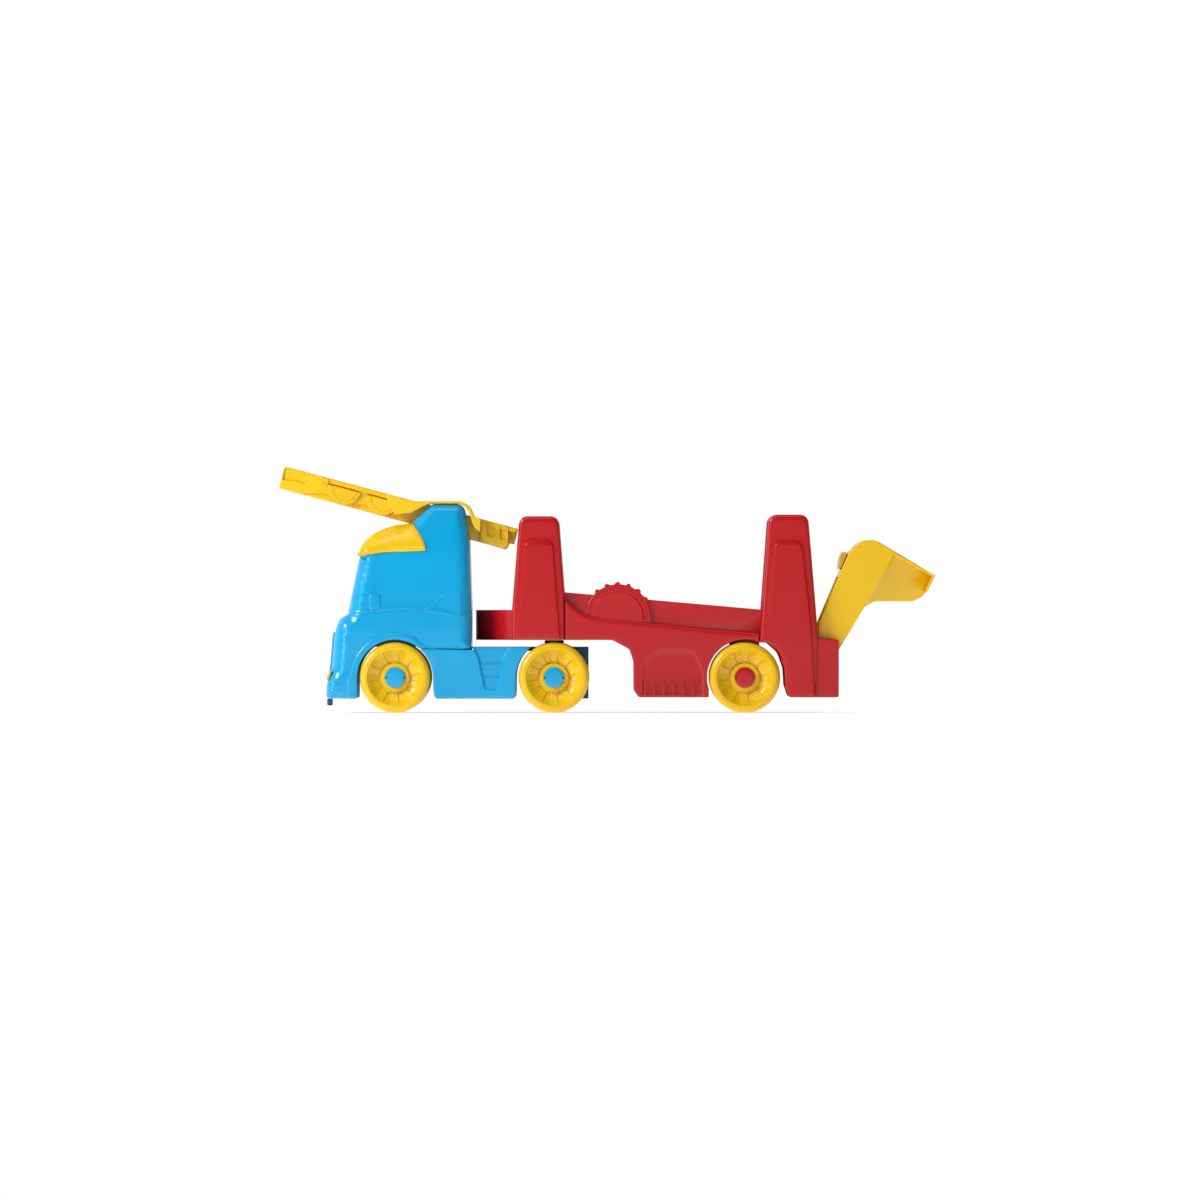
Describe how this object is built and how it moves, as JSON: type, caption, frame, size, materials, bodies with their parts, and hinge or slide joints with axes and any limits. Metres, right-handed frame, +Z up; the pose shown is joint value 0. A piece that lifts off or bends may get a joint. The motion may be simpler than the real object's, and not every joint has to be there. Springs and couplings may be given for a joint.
{
  "type": "toy cement mixer",
  "caption": "Toy cement mixer lorry without its drum: cab tractor with loading chute, swinging semi-trailer with two drum towers and a folding discharge chute.",
  "frame": {"origin": "on the floor below the middle of the toy's bounding box, on its plane of symmetry", "axes": "+Z up, -X the way the lorry drives, +Y to its right as the side view is seen from -Y"},
  "size_m": [0.4935, 0.121, 0.1853],
  "materials": {
    "cyan_plastic": "glossy moulded cyan plastic",
    "petrol_plastic": "satin moulded dark petrol blue plastic",
    "yellow_plastic": "glossy moulded yellow plastic",
    "red_plastic": "semi-gloss moulded red plastic",
    "screw_steel": "zinc plated steel"
  },
  "bodies": {
    "tractor": {"chassis_frame": "petrol_plastic", "front_tongue": "petrol_plastic", "cab_shell": "cyan_plastic", "sun_visor": "yellow_plastic", "grille_panel": "cyan_plastic", "headlamp_left": "yellow_plastic", "headlamp_right": "yellow_plastic", "side_fairing_left": "cyan_plastic", "side_fairing_right": "cyan_plastic", "hub_stub_front_left": "cyan_plastic", "hub_stub_front_right": "cyan_plastic", "hub_stub_rear_left": "cyan_plastic", "hub_stub_rear_right": "cyan_plastic", "chassis_screw_1": "screw_steel", "chassis_screw_2": "screw_steel", "fairing_screw_1": "screw_steel", "fairing_screw_2": "screw_steel"},
    "front_left_wheel": {"wheel_front_left": "yellow_plastic"},
    "front_right_wheel": {"wheel_front_right": "yellow_plastic"},
    "rear_left_wheel": {"wheel_rear_left": "yellow_plastic"},
    "rear_right_wheel": {"wheel_rear_right": "yellow_plastic"},
    "loading_chute": {"top_chute": "yellow_plastic", "chute_gear_front_left": "yellow_plastic", "chute_gear_front_right": "yellow_plastic", "chute_gear_rear_left": "yellow_plastic", "chute_gear_rear_right": "yellow_plastic"},
    "trailer": {"trailer_bed": "red_plastic", "skirt_fins_left": "red_plastic", "skirt_fins_right": "red_plastic", "ledge_gear_left": "red_plastic", "ledge_gear_right": "red_plastic", "kingpin": "red_plastic", "front_tower": "red_plastic", "rear_tower": "red_plastic", "tail_panel_left": "red_plastic", "tail_panel_right": "red_plastic", "tail_crosswall": "red_plastic", "hinge_pin": "red_plastic", "hub_stub_trailer_left": "red_plastic", "hub_stub_trailer_right": "red_plastic", "trailer_screw_1": "screw_steel", "trailer_screw_2": "screw_steel", "trailer_screw_3": "screw_steel", "trailer_screw_4": "screw_steel"},
    "trailer_left_wheel": {"wheel_trailer_left": "yellow_plastic"},
    "trailer_right_wheel": {"wheel_trailer_right": "yellow_plastic"},
    "tail_chute": {"discharge_chute": "yellow_plastic", "chute_latch": "yellow_plastic"}
  },
  "joints": [
    {"name": "front_left_wheel_spin", "type": "hinge", "parent": "tractor", "child": "front_left_wheel", "pos_m": [-0.1589, -0.0505, 0.0265], "axis": [0, 1, 0], "continuous": true},
    {"name": "front_right_wheel_spin", "type": "hinge", "parent": "tractor", "child": "front_right_wheel", "pos_m": [-0.1589, 0.0505, 0.0265], "axis": [0, 1, 0], "continuous": true},
    {"name": "rear_left_wheel_spin", "type": "hinge", "parent": "tractor", "child": "rear_left_wheel", "pos_m": [-0.03975, -0.0505, 0.0265], "axis": [0, 1, 0], "continuous": true},
    {"name": "rear_right_wheel_spin", "type": "hinge", "parent": "tractor", "child": "rear_right_wheel", "pos_m": [-0.03975, 0.0505, 0.0265], "axis": [0, 1, 0], "continuous": true},
    {"name": "trailer_left_wheel_spin", "type": "hinge", "parent": "trailer", "child": "trailer_left_wheel", "pos_m": [0.1034, -0.0505, 0.0265], "axis": [0, 1, 0], "continuous": true},
    {"name": "trailer_right_wheel_spin", "type": "hinge", "parent": "trailer", "child": "trailer_right_wheel", "pos_m": [0.1034, 0.0505, 0.0265], "axis": [0, 1, 0], "continuous": true},
    {"name": "trailer_swing", "type": "hinge", "parent": "tractor", "child": "trailer", "pos_m": [-0.03975, 0, 0.052], "axis": [0, 0, 1], "range_deg": [-22, 22]},
    {"name": "loading_chute_lift", "type": "slide", "parent": "tractor", "child": "loading_chute", "axis": [0, 0, 1], "range_m": [0, 0.03]},
    {"name": "discharge_chute_fold", "type": "hinge", "parent": "trailer", "child": "tail_chute", "pos_m": [0.1643, 0, 0.0434], "axis": [0, 1, 0], "range_deg": [-8, 58]}
  ]
}
